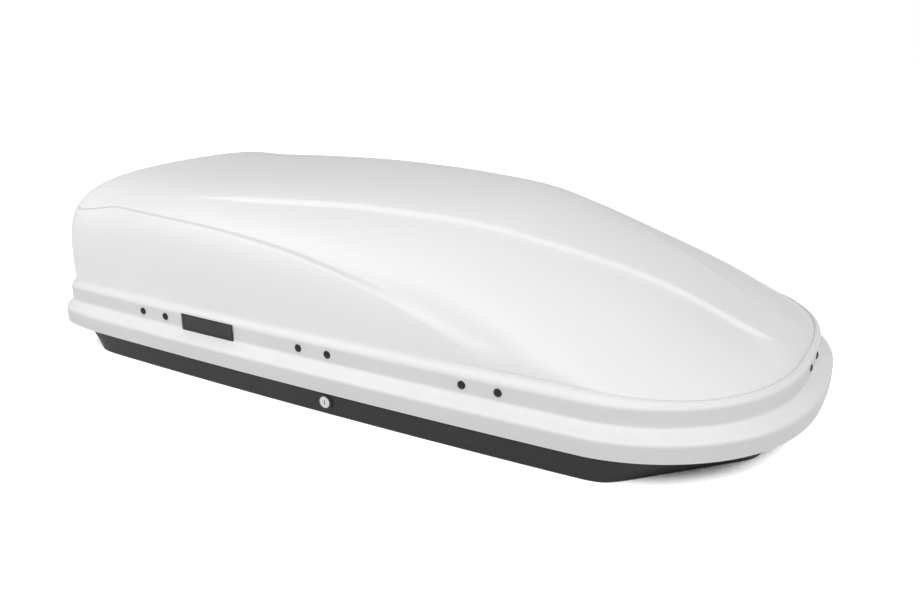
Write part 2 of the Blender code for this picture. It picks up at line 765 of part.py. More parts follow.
def hinge(name, x, lid, steel, dark):
    """Lid leaf, tray leaf and pin. All three hinges share one straight axis."""
    plate_ends = [x - PLATE_LENGTH / 2, x + PLATE_LENGTH / 2]
    half = float(band_half(plate_ends).min())
    total = sum(KNUCKLE_LENGTHS) + 2 * GAP
    ends = [-total / 2, -total / 2 + KNUCKLE_LENGTHS[0], total / 2 - KNUCKLE_LENGTHS[2], total / 2]
    lip_inner = half + LIP_OVERHANG - LID_WALL - GAP
    flare = math.atan2(BAND_FOOT_Z - LIP_FOOT_Z - LIP_HEIGHT, LIP_OVERHANG)
    flare_low = LIP_FOOT_Z + LIP_HEIGHT - LID_WALL * 0.6
    flare_high = BAND_FOOT_Z - LID_WALL * 1.15
    lid_path = [
        (half - LID_WALL - GAP, RIVET_Z + PLATE_RISE),
        (half - LID_WALL - GAP, flare_high),
        (lip_inner, flare_low),
        (lip_inner, LIP_FOOT_Z - 0.0005),
        (HINGE_Y - 0.001, HINGE_Z + KNUCKLE - 0.0005),
    ]
    turned = circle(KNUCKLE, TURN, (HINGE_Y, HINGE_Z))
    plate = prism(ribbon(lid_path, -PLATE), x - PLATE_LENGTH / 2, x + PLATE_LENGTH / 2, "X")
    knuckle = prism(turned, x + ends[1] + GAP, x + ends[2] - GAP, "X")
    leaf = joined(f"hinge_lid_leaf_{name}", [plate, knuckle], steel)
    wall_face = wall_y(plate_ends, HINGE_LEAF_TOP) + GAP
    base_path = [
        (wall_y(plate_ends, HINGE_LEAF_FOOT) + GAP, HINGE_LEAF_FOOT),
        (wall_face, HINGE_LEAF_TOP),
        (HINGE_Y - 0.001, HINGE_Z - KNUCKLE + 0.0025),
    ]
    plate = prism(ribbon(base_path, -PLATE), x - PLATE_LENGTH / 2, x + PLATE_LENGTH / 2, "X")
    first = prism(turned, x + ends[0], x + ends[1], "X")
    last = prism(turned, x + ends[2], x + ends[3], "X")
    base = joined(f"hinge_tray_leaf_{name}", [plate, first, last], steel)
    bore = helper(f"hinge_bore_{name}",
                  prism(circle(HINGE_PIN + GAP, PIN_TURN, (HINGE_Y, HINGE_Z)), x - total, x + total, "X"))
    for obj, side in ((leaf, -1), (base, 1)):
        trim_low = HINGE_Z - KNUCKLE - 0.001 if side < 0 else HINGE_LEAF_TOP - 0.002
        trim_high = 0.062 if side < 0 else HINGE_Z + KNUCKLE + 0.001
        for end in (-1, 1):
            reach = ends[2] - GAP if side < 0 else total / 2
            inner = x + end * reach
            outline = [(inner, trim_low), (x + end * PLATE_LENGTH, trim_low),
                       (x + end * PLATE_LENGTH, trim_high), (inner, trim_high)]
            trim = helper(f"{obj.name}_trim_{end + 1}", prism(outline, half - 0.02, half + 0.05, "Y"))
            boolean(obj, trim, "DIFFERENCE")
        boolean(obj, bore, "DIFFERENCE")
    middle_low = x + ends[1]
    middle_high = x + ends[2]
    clear = circle(KNUCKLE + KNUCKLE_ROOM, TURN, (HINGE_Y, HINGE_Z))
    room = helper(f"hinge_room_{name}", prism(clear, middle_low, middle_high, "X"))
    boolean(base, room, "DIFFERENCE")
    for end, (low, high) in enumerate(((ends[0], ends[1]), (ends[2], ends[3]))):
        room = helper(f"hinge_side_room_{name}_{end}", prism(clear, x + low - GAP, x + high + GAP, "X"))
        boolean(leaf, room, "DIFFERENCE")
    reach = total / 2 + HINGE_PIN_END
    pin = prism(circle(HINGE_PIN, PIN_TURN, (HINGE_Y, HINGE_Z)), x - reach, x + reach, "X")
    link(f"hinge_pin_{name}", pin, steel)
    for label, along in (("a", -RIVET_PITCH / 2), ("b", RIVET_PITCH / 2)):
        place = side_frame(x + along, 1) @ Matrix.Translation((0, 0, RIVET_Z))
        inset = float(band_half(x + along)) - half
        boolean(leaf, rivet(f"hinge_{name}_rivet_{label}", place, inset, lid, dark), "DIFFERENCE")


def locking_bar(steel):
    """A flat strip that slides along the tray, with one hook for each catch and a slotted tab."""
    low, high = BAR_Z
    under = CATCH_FOOT_Z + PLATE + HOOK_RUN
    top = under + HOOK_ARM
    reach = BAR_TRAVEL - HOOK_CLEAR + CRANK_SLACK
    slot_x = LOCK_X - CRANK * math.sin(CRANK_SWING / 2)
    tab = CRANK_PIN + CRANK_SLACK + TAB_MARGIN
    tab_top = CATCH_FOOT_Z - TAB_CLEAR
    tail = FITTING_X[0] - BAR_ENDS[0]
    nose = FITTING_X[-1] + BAR_ENDS[1]
    bumps = []
    for x in FITTING_X:
        tip = x - CATCH_FOOT_LENGTH / 2 - HOOK_CLEAR
        post = tip - reach
        bumps.append((post, [(post - HOOK_POST, high), (post - HOOK_POST, top), (tip, top),
                             (tip, under), (post, under), (post, high)]))
    bumps.append((slot_x, [(slot_x - tab, high), (slot_x - tab, tab_top),
                           (slot_x + tab, tab_top), (slot_x + tab, high)]))
    outline = [(nose, high), (nose, low), (tail, low), (tail, high)]
    for _, bump in sorted(bumps):
        outline += bump
    flat = prism(outline, -BAR_Y - BAR_THICK / 2, -BAR_Y + BAR_THICK / 2, "Y")
    bar = link("locking_bar", flat, steel)
    lift = (1 + math.cos(CRANK_SWING / 2)) * CRANK / 2
    drop = (1 - math.cos(CRANK_SWING / 2)) * CRANK
    width = 2 * (CRANK_PIN + CRANK_SLACK)
    slot = [(slot_x + b, LOCK_Z + lift + a) for a, b in stadium(drop + width, width)]
    boolean(bar, helper("crank_slot", prism(slot, -BAR_Y - 0.01, -BAR_Y + 0.01, "Y")), "DIFFERENCE")


def bar_guides(finish):
    """Blocks on the floor of the tray, each with a window for the bar."""
    width, depth = GUIDE_SIZE
    rear, middle, front = FITTING_X
    low = TRAY_WALL + GAP
    top = BAR_Z[1] + GUIDE_COVER
    for i, (fitting, step) in enumerate(zip((rear, middle, middle, front), GUIDE_STEPS)):
        x = fitting + step
        outline = [(x - width / 2, low), (x + width / 2, low),
                   (x + width / 2 - GUIDE_DRAFT, top), (x - width / 2 + GUIDE_DRAFT, top)]
        block = prism(outline, -BAR_Y - depth / 2, -BAR_Y + depth / 2, "Y")
        guide = link(f"bar_guide_{i + 1}", block, finish)
        inner = BAR_THICK / 2 + GAP
        window = [(-BAR_Y - inner, BAR_Z[0] - GAP), (-BAR_Y + inner, BAR_Z[0] - GAP),
                  (-BAR_Y + inner, BAR_Z[1] + GAP), (-BAR_Y - inner, BAR_Z[1] + GAP)]
        cut = helper(f"bar_window_{i + 1}", prism(window, x - width, x + width, "X"))
        boolean(guide, cut, "DIFFERENCE")


def lock(tray, plastic, chrome, steel):
    """Housing through the tray's wall, barrel in its bore, and the crank that drives the bar."""
    face = wall_y([LOCK_X], LOCK_Z)
    front = face + BEZEL_PROUD
    back = BAR_Y + BAR_THICK / 2 + CRANK_THICK + CRANK_RUN
    lean = TRAY_RIM_OFFSET / (TRAY_RIM_Z - TRAY_TURN)
    block_front = face - TRAY_WALL * 1.02 - GAP - lean * (LOCK_Z - HOUSING_Z[0]) - 0.0004
    centre = (LOCK_X, LOCK_Z)
    collar = prism(circle(BEZEL_RADIUS, FINE_TURN, centre), -front, -(back + HOUSING_DEPTH / 4), "Y")
    side = HOUSING_WIDTH / 2
    box = [(LOCK_X - side, HOUSING_Z[0]), (LOCK_X + side, HOUSING_Z[0]),
           (LOCK_X + side, HOUSING_Z[1]), (LOCK_X - side, HOUSING_Z[1])]
    block = prism(box, -block_front, -back, "Y")
    housing = joined("lock_housing", [block, collar], plastic)
    round_hole = circle(BARREL_RADIUS + GAP, FINE_TURN, centre)
    bore = helper("lock_bore", prism(round_hole, -front - 0.01, -back + 0.01, "Y"))
    boolean(housing, bore, "DIFFERENCE")
    bezel_hole = circle(BEZEL_RADIUS + GAP, FINE_TURN, centre)
    wall_hole = helper("lock_wall_hole", prism(bezel_hole, -front, -back, "Y"))
    boolean(tray, wall_hole, "DIFFERENCE")
    inner = back - GAP
    face_out = front + BARREL_PROUD
    barrel = link("lock_barrel", prism(circle(BARREL_RADIUS, FINE_TURN), -face_out, -inner, "Y"), chrome)
    key = [(-KEYWAY[0] / 2, -KEYWAY[1] / 2), (KEYWAY[0] / 2, -KEYWAY[1] / 2),
           (KEYWAY[0] / 2, KEYWAY[1] / 2), (-KEYWAY[0] / 2, KEYWAY[1] / 2)]
    keyway = helper("keyway", prism(key, -face_out - 0.01, -face_out + KEYWAY[2], "Y"), barrel)
    boolean(barrel, keyway, "DIFFERENCE")
    barrel.location = (LOCK_X, 0, LOCK_Z)
    turn = -CRANK_SWING / 2
    straight = stadium(CRANK + 2 * CRANK_END, 2 * CRANK_END, (CRANK / 2, 0), 6)
    arm = [(a * math.sin(turn) + b * math.cos(turn), a * math.cos(turn) - b * math.sin(turn))
           for a, b in straight]
    pin_at = (CRANK * math.sin(turn), CRANK * math.cos(turn))
    arm_face = inner - GAP
    arm_mesh = prism(arm, -arm_face, -arm_face + CRANK_THICK, "Y")
    pin_end = -BAR_Y + BAR_THICK
    pin = prism(circle(CRANK_PIN, TURN, pin_at), -arm_face + CRANK_THICK / 2, pin_end, "Y")
    crank = joined("lock_crank", [arm_mesh, pin], steel)
    crank.location = (LOCK_X, 0, LOCK_Z)


def nose_drop(y):
    """How far the rivet band has fallen back from the nose tip at a small y."""
    plan = lid_plan()[:6]
    return BAND_END - float(np.interp(abs(y), plan[:, 1], plan[:, 0]))


def nose_locator(lid, steel, plastic, dark):
    """A tongue riveted inside the nose, and the slotted block in the tray that it drops into."""
    sag = nose_drop(LOCATOR_WIDTH / 2)
    face = BAND_END - LID_WALL - GAP - sag
    foot = BAND_END - TONGUE_SETBACK
    path = [(face, RIVET_Z + PLATE_RISE), (face, 0.088), (foot, 0.072), (foot, TONGUE_FOOT_Z)]
    strip = prism(ribbon(path, -PLATE), -LOCATOR_WIDTH / 2, LOCATOR_WIDTH / 2, "Y")
    tongue = link("nose_tongue", strip, steel)
    for side in (-1, 1):
        inner = side * TONGUE_WIDTH / 2
        outer = side * LOCATOR_WIDTH
        outline = [(inner, TONGUE_FOOT_Z - 0.01), (inner, 0.080), (inner + side * 0.012, 0.092),
                   (outer, 0.092), (outer, TONGUE_FOOT_Z - 0.01)]
        relief = helper(f"tongue_relief_{side + 1}", prism(outline, foot - 0.02, face + 0.02, "X"))
        boolean(tongue, relief, "DIFFERENCE")
    for label, along in (("a", -RIVET_PITCH / 2), ("b", RIVET_PITCH / 2)):
        drop = nose_drop(along)
        place = nose_frame() @ Matrix.Translation((along, -drop, RIVET_Z))
        boolean(tongue, rivet(f"nose_rivet_{label}", place, sag - drop, lid, dark), "DIFFERENCE")
    rings = tray_inner_wall()
    wall_z = [ring[0, 2] for ring in rings]
    side = RECEIVER_WIDTH / 2
    wall_x = [float(np.interp(side, ring[:6, 1], ring[:6, 0])) - 2 * GAP for ring in rings]
    slot = (foot - PLATE - TONGUE_SLACK, foot + TONGUE_SLACK)
    inner = slot[0] - RECEIVER_WALL
    floor = TONGUE_FOOT_Z - TONGUE_END_ROOM
    outline = [(float(np.interp(RECEIVER_TOP_Z, wall_z, wall_x)), RECEIVER_TOP_Z),
               (slot[1], RECEIVER_TOP_Z), (slot[1], floor), (slot[0], floor), (slot[0], RECEIVER_TOP_Z),
               (inner, RECEIVER_TOP_Z), (inner, float(np.interp(inner, wall_x, wall_z))),
               (wall_x[1], wall_z[1])]
    link("nose_receiver", prism(outline, -side, side, "Y"), plastic)


def along_strut(s):
    """(y, z) at a distance along the strut from its tray pivot."""
    foot = Vector(STRUT_FOOT)
    head = Vector(STRUT_HEAD) + Vector(STRUT_LEAD)
    aim = (head - foot).normalized()
    return tuple(foot + aim * s)


def round_bar(radius, low, high, x, count=TURN):
    """A cylinder along the strut's line, from one distance to another."""
    bottom = Vector((x, *along_strut(low)))
    top = Vector((x, *along_strut(high)))
    turn = (top - bottom).to_track_quat("Z", "X").to_matrix().to_4x4()
    mesh = prism(circle(radius, count), 0.0, high - low)
    mesh.transform(Matrix.Translation(bottom) @ turn)
    return mesh


def ear_bracket(name, x, pin_at, root, finish):
    """Two ears joined by a foot, with the pin through them. root is the foot's outline (y, z)."""
    inner = EYE_THICK / 2 + EAR_GAP
    outer = inner + EAR_THICK
    around = STRUT_PIN + EAR_MARGIN
    ears = []
    for side in (-1, 1):
        low, high = sorted((x + side * inner, x + side * outer))
        ears.append(prism(root["ear"], low, high, "X"))
        ears.append(prism(circle(around, TURN, pin_at), low + 0.0002, high - 0.0002, "X"))
    pin = prism(circle(STRUT_PIN, PIN_TURN, pin_at), x - outer - 0.001, x + outer + 0.001, "X")
    foot = prism(root["foot"], x - BRACKET_LENGTH / 2, x + BRACKET_LENGTH / 2, "X")
    return joined(name, [foot, pin] + ears, finish)


def strut(name, x, steel, dark, cavity):
    """Tube with its eye, rod with its eye, and a bracket at each end."""
    foot_y, foot_z = STRUT_FOOT
    low = TRAY_WALL + GAP
    around = STRUT_PIN + EAR_MARGIN
    side = BRACKET_DEPTH / 2
    floor_foot = [(foot_y - side, low), (foot_y + side, low),
                  (foot_y + side, low + BRACKET_THICK), (foot_y - side, low + BRACKET_THICK)]
    floor_ear = [(foot_y - 1.5 * around, low + 0.001), (foot_y + 1.5 * around, low + 0.001),
                 (foot_y + around, foot_z), (foot_y - around, foot_z)]
    ear_bracket(f"strut_foot_{name}", x, STRUT_FOOT, {"foot": floor_foot, "ear": floor_ear}, steel)
    head_y, head_z = STRUT_HEAD
    side = BRACKET_HEIGHT / 2
    seat = head_y + HEAD_ROOM
    beyond = seat + BRACKET_DEPTH
    wall_foot = [(seat, head_z - side), (beyond, head_z - side),
                 (beyond, head_z + side), (seat, head_z + side)]
    wall_ear = [(head_y, head_z - around), (seat + 0.001, head_z - 1.6 * around),
                (seat + 0.001, head_z + 1.6 * around), (head_y, head_z + around)]
    head = ear_bracket(f"strut_head_{name}", x, STRUT_HEAD, {"foot": wall_foot, "ear": wall_ear}, steel)
    boolean(head, cavity, "INTERSECT")
    rest = (Vector(STRUT_HEAD) + Vector(STRUT_LEAD) - Vector(STRUT_FOOT)).length
    tongue_low = prism(stadium_between(along_strut(0), along_strut(TUBE_SPAN[0] + 0.004), FOOT_EYE),
                       x - EYE_THICK / 2, x + EYE_THICK / 2, "X")
    tube = joined(f"strut_tube_{name}", [round_bar(TUBE_RADIUS, *TUBE_SPAN, x, FINE_TURN), tongue_low], dark)
    bore = helper(f"strut_bore_{name}", round_bar(ROD_RADIUS + GAP, TUBE_FLOOR, TUBE_SPAN[1] + 0.01, x))
    foot_hole = circle(STRUT_PIN + GAP, PIN_TURN, STRUT_FOOT)
    eye = helper(f"strut_foot_eye_{name}", prism(foot_hole, x - 0.02, x + 0.02, "X"))
    boolean(tube, bore, "DIFFERENCE")
    boolean(tube, eye, "DIFFERENCE")
    tongue_high = prism(stadium_between(along_strut(rest - HEAD_EYE * 1.35), along_strut(rest), HEAD_EYE),
                        x - EYE_THICK / 2, x + EYE_THICK / 2, "X")
    rod = joined(f"strut_rod_{name}",
                 [round_bar(ROD_RADIUS, ROD_START, rest - HEAD_EYE * 1.1, x), tongue_high], steel)
    head_hole = circle(STRUT_PIN + STRUT_SLACK, TURN, along_strut(rest))
    hole = helper(f"strut_head_eye_{name}", prism(head_hole, x - 0.02, x + 0.02, "X"))
    boolean(rod, hole, "DIFFERENCE")


def stadium_between(start, end, radius):
    """An outline with round ends about two places."""
    start, end = Vector(start), Vector(end)
    aim = (end - start).normalized()
    middle = (start + end) / 2
    flat = stadium((end - start).length + 2 * radius, 2 * radius, steps=6)
    return [(middle.x + aim.x * a - aim.y * b, middle.y + aim.y * a + aim.x * b) for a, b in flat]


def clear_scene():
    for obj in list(bpy.data.objects):
        bpy.data.objects.remove(obj, do_unlink=True)


def build():
    clear_scene()
    white = material("gloss_white_shell", (0.83, 0.84, 0.85), 0.28)
    black = material("dark_grey_tray", (0.045, 0.047, 0.05), 0.55)
    steel = material("zinc_plated_steel", (0.62, 0.62, 0.60), 0.35, 1.0)
    dark = material("dark_rivet", (0.05, 0.05, 0.055), 0.45, 0.6)
    rubber = material("seal_rubber", (0.02, 0.02, 0.02), 0.8)
    chrome = material("lock_chrome", (0.7, 0.7, 0.7), 0.18, 1.0)
    lid = lid_shell(white)
    tray = base_tray(black)
    mounting(tray, steel, rubber)
    for name, x in zip(FITTING_NAMES, FITTING_X):
        catch(f"catch_{name}", side_frame(x, -1), lid, steel, dark)
        hinge(name, x, lid, steel, dark)
    locking_bar(steel)
    bar_guides(black)
    lock(tray, black, chrome, steel)
    nose_locator(lid, steel, black, dark)
    cavity = helper("lid_room", lid_cavity())
    for name, x in zip(STRUT_NAMES, STRUT_X):
        strut(name, x, steel, dark, cavity)


build()
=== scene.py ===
# %% [markdown]
# # Dressing a roof box
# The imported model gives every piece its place. This lesson loads it, sets the camera, the floor
# and the lamps, and then gives each piece its finish. Where the real thing is smoother or finer
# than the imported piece, a new piece is built over it and rides on the same body.

# %% Load the frame
import json
import math

import bmesh
import bpy
import numpy as np
from mathutils import Matrix, Vector


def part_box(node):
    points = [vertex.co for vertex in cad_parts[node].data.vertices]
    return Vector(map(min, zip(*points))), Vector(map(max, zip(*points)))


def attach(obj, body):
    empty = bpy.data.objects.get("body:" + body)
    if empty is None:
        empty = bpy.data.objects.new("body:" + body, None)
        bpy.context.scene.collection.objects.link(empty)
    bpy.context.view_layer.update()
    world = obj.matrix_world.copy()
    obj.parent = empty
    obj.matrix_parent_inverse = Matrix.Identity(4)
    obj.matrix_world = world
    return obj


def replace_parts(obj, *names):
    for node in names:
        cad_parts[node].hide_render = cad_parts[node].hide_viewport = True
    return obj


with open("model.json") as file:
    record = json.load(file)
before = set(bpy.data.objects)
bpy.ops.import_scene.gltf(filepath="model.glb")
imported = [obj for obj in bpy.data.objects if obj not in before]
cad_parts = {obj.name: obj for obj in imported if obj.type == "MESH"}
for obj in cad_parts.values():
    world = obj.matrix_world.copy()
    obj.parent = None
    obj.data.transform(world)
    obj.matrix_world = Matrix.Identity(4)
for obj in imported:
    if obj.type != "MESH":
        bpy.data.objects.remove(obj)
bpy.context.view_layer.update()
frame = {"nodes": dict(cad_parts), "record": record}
nodes = frame["nodes"]
scene = bpy.context.scene

# %% [markdown]
# ## Camera
# The box was photographed from beside its nose, a little above it. A camera is three facts: where
# it stands, where it looks, and how long its lens is. The heading is turned from +Y towards -X.

# %% Camera
VIEW_PLACE = (0.828, -1.378, 0.625)
VIEW_DOWN = 18.6
VIEW_TURN = 29.5
PICTURE_WIDTH = 920
FOCAL_PIXELS = 858

camera = bpy.data.objects.new("camera", bpy.data.cameras.new("camera"))
camera.data.sensor_width = 36
camera.data.lens = FOCAL_PIXELS / PICTURE_WIDTH * camera.data.sensor_width
camera.location = VIEW_PLACE
camera.rotation_euler = (math.radians(90 - VIEW_DOWN), 0, math.radians(VIEW_TURN))
scene.collection.objects.link(camera)
scene.camera = camera
print("lens", round(camera.data.lens, 2), "mm")

# %% [markdown]
# ## Shader maths as Python
# A material is a graph. Written socket by socket it is long, so one class wraps a socket and lets
# numbers be added and multiplied as in any formula. Every other node comes from one method.


# %% A socket that can be calculated with
class Wire:
    """An output socket of a node graph, or a sum made from such sockets."""

    def __init__(self, graph, socket):
        self.graph = graph
        self.socket = socket

    def maths(self, operation, other=0.0, swapped=False):
        pair = (other, self) if swapped else (self, other)
        return self.graph.node("ShaderNodeMath", {"operation": operation}, {0: pair[0], 1: pair[1]})

    def __add__(self, other):
        return self.maths("ADD", other)

    def __sub__(self, other):
        return self.maths("SUBTRACT", other)

    def __rsub__(self, other):
        return self.maths("SUBTRACT", other, True)

    def __mul__(self, other):
        return self.maths("MULTIPLY", other)

    def __pow__(self, other):
        return self.maths("POWER", other)

    def __truediv__(self, other):
        return self.maths("DIVIDE", other)

    __radd__ = __add__
    __rmul__ = __mul__

    def at_least(self, other):
        return self.maths("MAXIMUM", other)

    def between(self, low, high):
        """0 below low, 1 above high, and a smooth step in between."""
        limits = {"Value": self, "From Min": low, "From Max": high}
        return self.graph.node("ShaderNodeMapRange", {"interpolation_type": "SMOOTHSTEP"}, limits)


# %% [markdown]
# A finish is a material with its main shader ready. Its textures are placed by the object's own
# coordinates, so they stay on a piece when it swings or slides.


# %% A finish
class Finish:
    """A material graph with a Principled shader."""

    def __init__(self, name):
        self.material = bpy.data.materials.new(name)
        self.material.use_nodes = True
        self.tree = self.material.node_tree
        self.shader = self.tree.nodes["Principled BSDF"]
        self.place = self.node("ShaderNodeTexCoord", out="Object")

    def node(self, kind, settings=None, inputs=None, out=0):
        made = self.tree.nodes.new(kind)
        for key, value in (settings or {}).items():
            setattr(made, key, value)
        for key, value in (inputs or {}).items():
            self.feed(made.inputs[key], value)
        return Wire(self, made.outputs[out])

    def feed(self, socket, value):
        if isinstance(value, Wire):
            self.tree.links.new(value.socket, socket)
        else:
            socket.default_value = value

    def noise(self, scale, detail=3.0, roughness=0.5, place=None):
        inputs = {"Vector": place or self.place, "Scale": scale, "Detail": detail, "Roughness": roughness}
        return self.node("ShaderNodeTexNoise", None, inputs, "Fac")

    def cells(self, scale):
        inputs = {"Vector": self.place, "Scale": scale}
        return self.node("ShaderNodeTexVoronoi", {"feature": "SMOOTH_F1"}, inputs, "Distance")

    def stretched(self, stretch):
        return self.node("ShaderNodeMapping", None, {"Vector": self.place, "Scale": stretch})

    def height(self):
        return self.node("ShaderNodeSeparateXYZ", None, {0: self.place}, "Z")

    def mix(self, share, low, high):
        """A colour between two others."""
        as_colour = [value if isinstance(value, Wire) else (*value, 1.0) for value in (low, high)]
        inputs = {0: share, 6: as_colour[0], 7: as_colour[1]}
        return self.node("ShaderNodeMix", {"data_type": "RGBA"}, inputs, 2)

    def bump(self, height, depth, strength=1.0):
        return self.node("ShaderNodeBump", None, {"Strength": strength, "Distance": depth, "Height": height})

    def wear(self, **sockets):
        """Sets the shader's sockets. Underscores stand for spaces."""
        for key, value in sockets.items():
            name = key.replace("_", " ")
            if isinstance(value, tuple) and len(value) == 3:
                value = (*value, 1.0)
            self.feed(self.shader.inputs[name], value)
        return self.material


print("shader helpers ready")

# %% [markdown]
# ## White shell
# The lid is a thermoformed sheet with a satin gloss. Up close such a sheet is never a mirror: it
# has a faint orange peel from the mould and a haze that varies over the hand's width. A little dust
# greys it near its lower edge, and painted shade greys the upright lip and the rivet band.

# %% White shell
SHELL_WHITE = (0.815, 0.815, 0.815)
# The grey below serves both the dust specks and the painted shade on the lip and the band.
SHELL_DUST_AND_SHADE = (0.70, 0.70, 0.70)


def shell_finish():
    look = Finish("gloss_white_shell")
    peel = look.noise(420.0, 2.0) * 0.7 + look.noise(1500.0, 1.0) * 0.3
    haze = look.noise(9.0, 3.0)
    z = look.height()
    specks = (1 - z.between(0.05, 0.14)) * look.noise(60.0, 5.0, 0.65).between(0.45, 0.75) * 0.35
    # Painted shade: the lip and the rivet band are greyed as if less light reached these upright faces. The
    # random specks above are dust.
    lip_painted_shade = z.between(0.049, 0.054) * (1 - z.between(0.075, 0.081))
    band = z.between(0.091, 0.096) * (1 - z.between(0.116, 0.122))
    dust_and_painted_shade = specks.at_least((lip_painted_shade + band) * (0.70 + haze * 0.4))
    colour = look.mix(dust_and_painted_shade, look.mix(haze * 0.5, SHELL_WHITE, (0.83, 0.83, 0.83)), SHELL_DUST_AND_SHADE)
    return look.wear(
        Base_Color=colour,
        Roughness=0.40 + haze * 0.10 + dust_and_painted_shade * 0.2,
        Normal=look.bump(peel, 0.00006, 0.5),
        Coat_Weight=0.12,
        Coat_Roughness=0.18,
        IOR=1.5,
    )


shell_white = shell_finish()
print("made", shell_white.name)

# %% [markdown]
# ## Dark tray
# The tray is a dark grey sheet with a fine pebbled grain, which hides scratches. Cell noise gives
# the pebbles, and its lowest edge carries pale rubbed marks where it is set down.

# %% Dark tray
TRAY_DARK = (0.017, 0.018, 0.019)


def tray_finish():
    look = Finish("grained_dark_tray")
    pebbles = look.cells(620.0)
    tone = look.noise(14.0, 4.0)
    rubbed = (1 - look.height().between(0.001, 0.009)) * look.noise(90.0, 6.0, 0.7).between(0.5, 0.8)
    colour = look.mix(rubbed * 0.5, look.mix(tone, TRAY_DARK, (0.024, 0.025, 0.027)), (0.09, 0.09, 0.09))
    return look.wear(
        Base_Color=colour,
        Roughness=0.50 + pebbles * 0.16 + tone * 0.06,
        Specular_IOR_Level=0.32,
        Normal=look.bump(pebbles, 0.00025, 0.55),
    )


tray_dark = tray_finish()
print("made", tray_dark.name)

# %% [markdown]
# ## Moulded fittings
# Guides, the lock's housing and the nose block are small black mouldings, duller than the tray,
# with a spark-eroded grain.

# %% Moulded fittings


def fitting_finish():
    look = Finish("matt_black_fitting")
    grain = look.noise(1400.0, 3.0)
    tone = look.noise(45.0, 3.0)
    return look.wear(
        Base_Color=look.mix(tone, (0.022, 0.022, 0.024), (0.038, 0.038, 0.04)),
        Roughness=0.55 + grain * 0.2,
        Normal=look.bump(grain, 0.00008, 0.6),
    )


fitting_black = fitting_finish()
print("made", fitting_black.name)

# %% [markdown]
# ## Zinc plated steel
# Plated steel has a fine directional grain from rolling and soft cloudy patches. The grain is a
# noise stretched along X, the way the strips are rolled.

# %% Zinc plated steel


def zinc_finish():
    look = Finish("zinc_plated_steel")
    grain = look.noise(260.0, 4.0, 0.6, look.stretched((0.06, 1.0, 1.0)))
    cloud = look.noise(38.0, 3.0)
    return look.wear(
        Base_Color=look.mix(cloud, (0.50, 0.51, 0.52), (0.66, 0.66, 0.65)),
        Roughness=0.30 + cloud * 0.14 + grain * 0.10,
        Metallic=1.0,
        Normal=look.bump(grain, 0.00004, 0.35),
    )


zinc_steel = zinc_finish()
print("made", zinc_steel.name)

# %% [markdown]
# ## Painted steel, rubber and chrome
# Rivets and strut tubes are painted, the slot seals are rubber with a grey bloom, and the lock's
# face is chrome with hairline scratches.

# %% Painted steel


def painted_finish(name, colour, rough):
    look = Finish(name)
    peel = look.noise(900.0, 2.0)
    tone = look.noise(120.0, 3.0)
    lighter = tuple(c * 1.8 + 0.004 for c in colour)
    return look.wear(
        Base_Color=look.mix(tone, colour, lighter),
        Roughness=rough + peel * 0.14,
        Specular_IOR_Level=0.3,
        Normal=look.bump(peel, 0.00005, 0.5),
    )


rivet_dark = painted_finish("dark_rivet_paint", (0.006, 0.006, 0.007), 0.34)
strut_black = painted_finish("strut_black_paint", (0.014, 0.014, 0.015), 0.22)
print("made", rivet_dark.name, "and", strut_black.name)

# %% Rubber and chrome


def rubber_finish():
    look = Finish("slot_seal_rubber")
    bloom = look.noise(70.0, 5.0, 0.6).between(0.42, 0.72)
    grain = look.noise(1800.0, 2.0)
    return look.wear(
        Base_Color=look.mix(bloom, (0.014, 0.014, 0.014), (0.036, 0.036, 0.036)),
        Roughness=0.72 + bloom * 0.14,
        Normal=look.bump(grain, 0.00006, 0.5),
    )


def chrome_finish():
    look = Finish("polished_lock_chrome")
    hairline = look.noise(700.0, 5.0, 0.7, look.stretched((1.0, 1.0, 0.05)))
    along = look.node("ShaderNodeSeparateXYZ", None, {0: look.place}, "X")
    radius = (along * along + look.height() * look.height()) ** 0.5
    ring = radius.between(0.0052, 0.0058) * (1 - radius.between(0.0068, 0.0074))
    bright = look.mix(hairline, (0.38, 0.38, 0.38), (0.50, 0.50, 0.50))
    return look.wear(
        Base_Color=look.mix(ring * 0.85, bright, (0.08, 0.08, 0.08)),
        Roughness=0.20 + hairline * 0.16,
        Metallic=1.0,
        Normal=look.bump(hairline - ring, 0.00004, 0.3),
    )


seal_rubber = rubber_finish()
lock_chrome = chrome_finish()
print("made", seal_rubber.name, "and", lock_chrome.name)

# %% [markdown]
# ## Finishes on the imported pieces
# The record already names a material slot for every node, so one table of slots dresses them all.

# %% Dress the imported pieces
FINISHES = {
    "shell_white": shell_white,
    "tray_dark": tray_dark,
    "fitting_black": fitting_black,
    "zinc_steel": zinc_steel,
    "rivet_dark": rivet_dark,
    "strut_black": strut_black,
    "seal_rubber": seal_rubber,
    "lock_chrome": lock_chrome,
}

for subpart in frame["record"]["subparts"]:
    packed = nodes[subpart["node"]]
    packed.data.materials.clear()
    packed.data.materials.append(FINISHES[subpart["material_slot"]])
print("dressed", len(nodes), "nodes")

# %% [markdown]
# ## The plan outline of the lid
# Seen from above the lid is a bowed rectangle with a long elliptical nose and tight tail corners.
# Superellipses give both ends from two numbers each. Half the outline is enough, because every
# ring is mirrored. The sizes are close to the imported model's own.

# %% Plan outline
BAND_END = 0.695
BAND_HALF = 0.358
SIDE_BOW = 0.017
NOSE_LENGTH = 0.248
NOSE_POWERS = (1.8, 2.78)
BAND_TAIL = 0.709
TAIL_LENGTH = 0.102
TAIL_POWERS = (3.5, 2.65)
TAIL_TUCK_START = 0.557
TAIL_TUCK = 0.56
LEDGE_WIDTH = 0.010
LENGTH = 1.440
BAND_TOP = 0.121
FOOT_Z = 0.133
NOSE_SINK = 0.009
NOSE_SINK_FADE = (0.78, 0.93)


def band_half(x):
    return BAND_HALF - SIDE_BOW * (np.asarray(x) / BAND_END) ** 2


def share_along(x):
    return (np.asarray(x) + LENGTH / 2) / LENGTH


